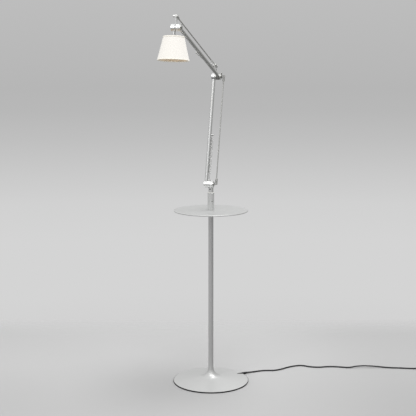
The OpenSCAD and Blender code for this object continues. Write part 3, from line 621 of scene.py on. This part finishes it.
def curve_through(name, points, thickness, smooth=True):
    """A round wire or cord through points in millimetres."""
    line = bpy.data.curves.new(name, "CURVE")
    line.dimensions = "3D"
    line.bevel_depth = thickness * MM
    line.bevel_resolution = 3
    line.use_fill_caps = True
    line.resolution_u = 4
    spline = line.splines.new("BEZIER" if smooth else "POLY")
    knots = spline.bezier_points if smooth else spline.points
    knots.add(len(points) - 1)
    for knot, point in zip(knots, points):
        if smooth:
            knot.co = Vector(point) * MM
            knot.handle_left_type = knot.handle_right_type = "AUTO"
        else:
            knot.co = (*(Vector(point) * MM), 1)
    piece = bpy.data.objects.new(name, line)
    scene.collection.objects.link(piece)
    return piece


def turned(name, outline, sides):
    """A ring about z: a circle extruded and resized along an outline of radius and height."""
    deselect()
    radius, height = outline[0]
    bpy.ops.mesh.primitive_circle_add(vertices=sides, radius=radius * MM,
                                      location=(0, 0, height * MM))
    piece = bpy.context.object
    piece.name = name
    bpy.ops.object.transform_apply(location=True)
    bpy.ops.object.mode_set(mode="EDIT")
    bpy.ops.mesh.select_all(action="SELECT")
    for r, z in outline[1:] + outline[:1]:
        rise = (0, 0, (z - height) * MM)
        growth = r / radius
        bpy.ops.mesh.extrude_region_move(TRANSFORM_OT_translate={"value": rise})
        bpy.ops.transform.resize(value=(growth, growth, 1), center_override=(0, 0, z * MM))
        radius, height = r, z
    bpy.ops.mesh.select_all(action="SELECT")
    bpy.ops.mesh.remove_doubles(threshold=0.00001)
    bpy.ops.mesh.normals_make_consistent(inside=False)
    bpy.ops.object.mode_set(mode="OBJECT")
    return piece


def fit(piece, finish, place, body, crease):
    """Smooths a turned piece up to the angle crease, and gives it its finish, place and body."""
    take(piece)
    bpy.ops.object.shade_smooth_by_angle(angle=math.radians(crease))
    piece.data.materials.append(finish)
    settle(piece, place)
    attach(piece, body)


def coil_point(turns):
    """The middle of the coiled cord: in along the floor, up in half a turn and out on top."""
    radius = COIL_R - COIL_PITCH * min(turns, COIL_TURNS - turns)
    climb = min(1, max(0, (turns - LAYER_TURNS) / CLIMB_TURNS))
    angle = 2 * math.pi * turns
    return Vector((COIL_CENTRE.x - radius * math.cos(angle),
                   COIL_CENTRE.y + radius * math.sin(angle), FLOOR_Z + COIL_PITCH * climb))


def lay_flex(finish):
    """The cord from the gland over the floor, through the switch and the coil to the plug."""
    step = Vector((0, 12, 0))
    coil = [coil_point(i / COIL_STEPS) for i in range(int(COIL_TURNS * COIL_STEPS) + 1)]
    points = (ROUTE + [SWITCH_MIDDLE, SWITCH_FAR, SWITCH_FAR + step, COIL_IN - step, COIL_IN]
              + coil + [COIL_OUT, COIL_OUT + step, PLUG_FOOT - step, PLUG_FOOT])
    flex = curve_through("flex", points, CORD_R)
    flex.data.materials.append(finish)
    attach(flex, "base")
    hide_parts("cord_run", "cord_lead", "cord_coil", "cord_tail")


def smooth_line(points, steps):
    """Points on a smooth line through the given ones."""
    out = []
    for i in range(len(points) - 1):
        a, b = points[max(i - 1, 0)], points[i]
        c, d = points[i + 1], points[min(i + 2, len(points) - 1)]
        for j in range(steps):
            t = j / steps
            out.append(b + 0.5 * t * (c - a) + t * t * (a - 2.5 * b + 2 * c - 0.5 * d)
                       + t ** 3 * (1.5 * (b - c) + 0.5 * (d - a)))
    return out + [points[-1]]


def ring_hook(centre, way):
    """A loop round a pin along y; the wire comes from the coil, and way is 1 at the far pin."""
    loop_r = SPRING_PIN_R + HOOK_PLAY + WIRE_R
    turn = [math.radians(a) for a in HOOK_SWEEP]
    return [Vector((loop_r * math.sin(a), 0, centre - way * loop_r * math.cos(a)))
            for a in turn]


def lug_hook(start):
    """A loop round the lug's pin, and the wire from its middle to the coil."""
    return list(reversed(ring_hook(0, -1))) + [
        Vector(p) for p in ((0, 0, start - 6), (0, 0, start - 3.4), (2.6, 0, start - 1.4))]


def lever_hook(start):
    """The wire's end is turned down behind the lever; it comes through the hole and runs beside
    the coil's axis, so that it passes the guide rod when the arm is low."""
    return [Vector(p) for p in (
        (4.2, 2.5, 0.7), (2.6, 2.5, 0.7), (1.0, 2.45, 0.7), (0.2, 1.7, 0.66), (0, 0, 0.62),
        (0.2, -1.7, 0.7), (0.8, -2.8, 1.2), (1.5, -4.0, 2.0), (2.0, -4.9, 3.2), (2.2, -5.2, 4.8),
        (2.4, -5.2, start - 7), (3.2, -4.4, start - 3.6), (4.1, -2.3, start - 1.2))]


def wind_spring(name, hook, pin, y, coil, curls, first_hook, finish):
    """A wound spring from the hook to the pin: coil holds the bare wire at its two ends."""
    gap = pin - hook
    start, end = coil[0], gap.length - coil[1]
    steps = CURL_SIDES * curls
    turn = [Vector((CURL_R * math.cos(2 * math.pi * i / CURL_SIDES),
                    CURL_R * math.sin(2 * math.pi * i / CURL_SIDES),
                    start + (end - start) * i / steps)) for i in range(steps + 1)]
    into = smooth_line(first_hook(start), steps=4)
    out = smooth_line([Vector((2.6, 0, end + 1.4)), Vector((0, 0, end + 3.2))]
                      + ring_hook(gap.length, 1), steps=2)
    wire = curve_through(name, into + turn + out, WIRE_R, smooth=False)
    wire.data.bevel_resolution = 1
    take(wire)
    bpy.ops.object.convert(target="MESH")
    wire = bpy.context.object
    place = in_arm_plane(hook, math.atan2(gap.x, gap.y), y)
    settle(wire, place)
    bpy.ops.object.shade_smooth()
    wire.data.materials.clear()
    wire.data.materials.append(finish)
    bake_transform(wire)
    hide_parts(name.replace("_wire", ""))


def wind_springs():
    finish = drawn_metal("spring wire", SPRING_METAL, rough=0.25)
    wind_spring("lower_spring_wire", hook=HUB + Vector((0, 17.5)), pin=HUB + 214 * LOWER_WAY,
                y=-8, coil=(28.8, 11.8), curls=30, first_hook=lug_hook,
                finish=finish)
    wind_spring("upper_spring_wire", hook=ELBOW + Vector((0, 32)), pin=ELBOW + 255 * UPPER_WAY,
                y=-11.5, coil=(20.7, 11.8), curls=38, first_hook=lever_hook,
                finish=finish)


def chart_cloth(piece):
    """Maps the shade's skin round it and up it, in metres."""
    middle_r = (SHADE_TOP_R + SHADE_BOTTOM_R) / 2 * MM
    chart = piece.data.uv_layers.new(name="cloth")
    for face in piece.data.polygons:
        middle = math.atan2(face.center.y, face.center.x)
        for corner in face.loop_indices:
            at = piece.data.vertices[piece.data.loops[corner].vertex_index].co
            angle = math.atan2(at.y, at.x)
            if angle - middle > math.pi:
                angle -= 2 * math.pi
            if middle - angle > math.pi:
                angle += 2 * math.pi
            chart.data[corner].uv = (angle * middle_r, at.z)


def stretch_skin(cloth, lining):
    """The cone of cloth on its two hoops, drawn in a little at its waist, with its lining."""
    steps = 12
    outer = []
    for i in range(steps + 1):
        drop = SHADE_H * i / steps
        waist = SHADE_WAIST * math.sin(math.pi * i / steps)
        outer.append((SHADE_TOP_R + SHADE_SLOPE * drop - waist, -SHADE_DROP - drop))
    inner = [(r - SHADE_SKIN, z) for r, z in reversed(outer)]
    skin = turned("shade_cloth", outer + inner, sides=SHADE_SIDES)
    skin.data.materials.append(cloth)
    skin.data.materials.append(lining)
    for face in skin.data.polygons:
        outwards = face.normal.x * face.center.x + face.normal.y * face.center.y
        face.material_index = 0 if outwards > 0 else 1
    chart_cloth(skin)
    bpy.ops.object.shade_smooth_by_angle(angle=math.radians(40))
    settle(skin, ON_HEAD)
    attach(skin, "head")
    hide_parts("shade")
    return skin


def roll_trim(name, top, finish):
    """The rolled band at an edge of the shade, from top down, in millimetres below its edge."""
    low = top + TRIM_H
    radius = SHADE_TOP_R + SHADE_SLOPE * max(0, top)
    edge = [(radius + 0.1, -SHADE_DROP - top)]
    edge += [(radius + SHADE_SLOPE * (depth - top) + swell, -SHADE_DROP - depth)
             for depth, swell in ((top + 0.2, 0.5), (top + 1.0, 0.7), (low - 1.0, 0.7),
                                  (low - 0.2, 0.5), (low, 0.1))]
    edge += [(r - SHADE_SKIN - 0.6, z) for r, z in (edge[-1], edge[0])]
    band = turned(name, edge, sides=SHADE_SIDES)
    chart_cloth(band)
    fit(band, finish, ON_HEAD, "head", crease=50)
    return band


def make_shade():
    """The cloth on its hoops, with a trim at each edge."""
    skin = stretch_skin(
        # The outer cloth's glow is painted light.
        cloth_finish("shade cloth", thread=(0.895, 0.868, 0.82, 1), gap=(0.87, 0.84, 0.79, 1),
                     slub=(0.905, 0.88, 0.838, 1), painted_glow=0.05),
        cloth_finish("shade lining", thread=(0.86, 0.73, 0.56, 1), gap=(0.78, 0.65, 0.48, 1),
                     slub=(0.90, 0.78, 0.62, 1)))
    trim = cloth_finish("shade trim", thread=(0.92, 0.88, 0.80, 1), gap=(0.88, 0.84, 0.755, 1),
                        slub=(0.94, 0.905, 0.83, 1))
    trims = [roll_trim("shade_top_trim", -TRIM_OVERLAP, trim),
             roll_trim("shade_bottom_trim", SHADE_H + TRIM_OVERLAP - TRIM_H, trim)]


def rib_gland(finish):
    """Raised rings round the tapered strain relief, from the foot's rim outwards."""
    foot_r, tip_r, count = 4.6, 3.7, 5
    rings = []
    for i in range(count):
        z = RELIEF_LEN * (i + 0.6) / (count + 0.4)
        core = foot_r + (tip_r - foot_r) * z / RELIEF_LEN
        rings.append(turned("gland_ribs", [
            (core + swell, z + side) for side, swell in (
                (-1.0, -0.4), (-0.8, 0.35), (-0.3, 0.5), (0.3, 0.5), (0.8, 0.35), (1.0, -0.4))],
            sides=32))
    deselect()
    for ring in rings:
        ring.select_set(True)
    bpy.context.view_layer.objects.active = rings[0]
    bpy.ops.object.join()
    fit(rings[0], finish, AT_RIM, "base", crease=50)


def edge_foot(finish):
    """A black strip round the foot's rim, from the floor up over its outer edge."""
    strip = turned("foot_edging", [
        (161.3, 0.2), (165.8, 0.2), (166.4, 0.8), (166.4, 4.3), (166.1, 4.75), (165.05, 5.15),
        (165.05, 1.9), (161.3, 1.9)], sides=128)
    fit(strip, finish, Matrix.Identity(4), "base", crease=50)


def cap_top_pin(finish):
    """The turned sleeve on the long pin that joins the upper rod to the head."""
    sleeve = turned("top_pin_sleeve", [
        (2.05, 0), (4.2, 0), (4.8, 0.6), (4.8, 2.6), (4.4, 2.9), (4.4, 3.4), (4.8, 3.7),
        (4.8, 6.9), (4.2, 7.4), (2.05, 7.4)], sides=40)
    fit(sleeve, finish, ON_TOP_PIN, "upper_tie", crease=40)


def paint_neck_screw_shadow(finish):
    """A dark ring round the screw in the swivel's neck: a painted shadow for the screw's hole."""
    shadow_ring = turned("neck_screw_painted_shadow", [
        (1.95, -1.2), (3.1, -1.2), (3.1, 0.25), (2.8, 0.45), (2.2, 0.3), (1.95, -0.2)],
        sides=32)
    fit(shadow_ring, finish, ON_NECK, "swivel", crease=40)


stand_camera()
lay_floor()
light_room()
hang_lamps()

flex_finish = moulded("flex sheath", FLEX_BLACK, rough=0.45, grain=700.0, gloss=0.3)
# Black rubber for the gland, the grommet and the foot's strip, and painted shadow round the neck
# screw.
rubber_and_shade_finish = moulded("black rubber and painted shade", RUBBER_AND_SHADE_BLACK, rough=0.6, gloss=0.2)
silver_finish = satin_metal("satin aluminium", POLISHED, rough=0.27)
paint_nodes(flex_finish, rubber_and_shade_finish, silver_finish)
lay_flex(flex_finish)
wind_springs()
make_shade()
rib_gland(rubber_and_shade_finish)
edge_foot(rubber_and_shade_finish)
cap_top_pin(silver_finish)
paint_neck_screw_shadow(rubber_and_shade_finish)

scene.view_settings.view_transform = "Standard"
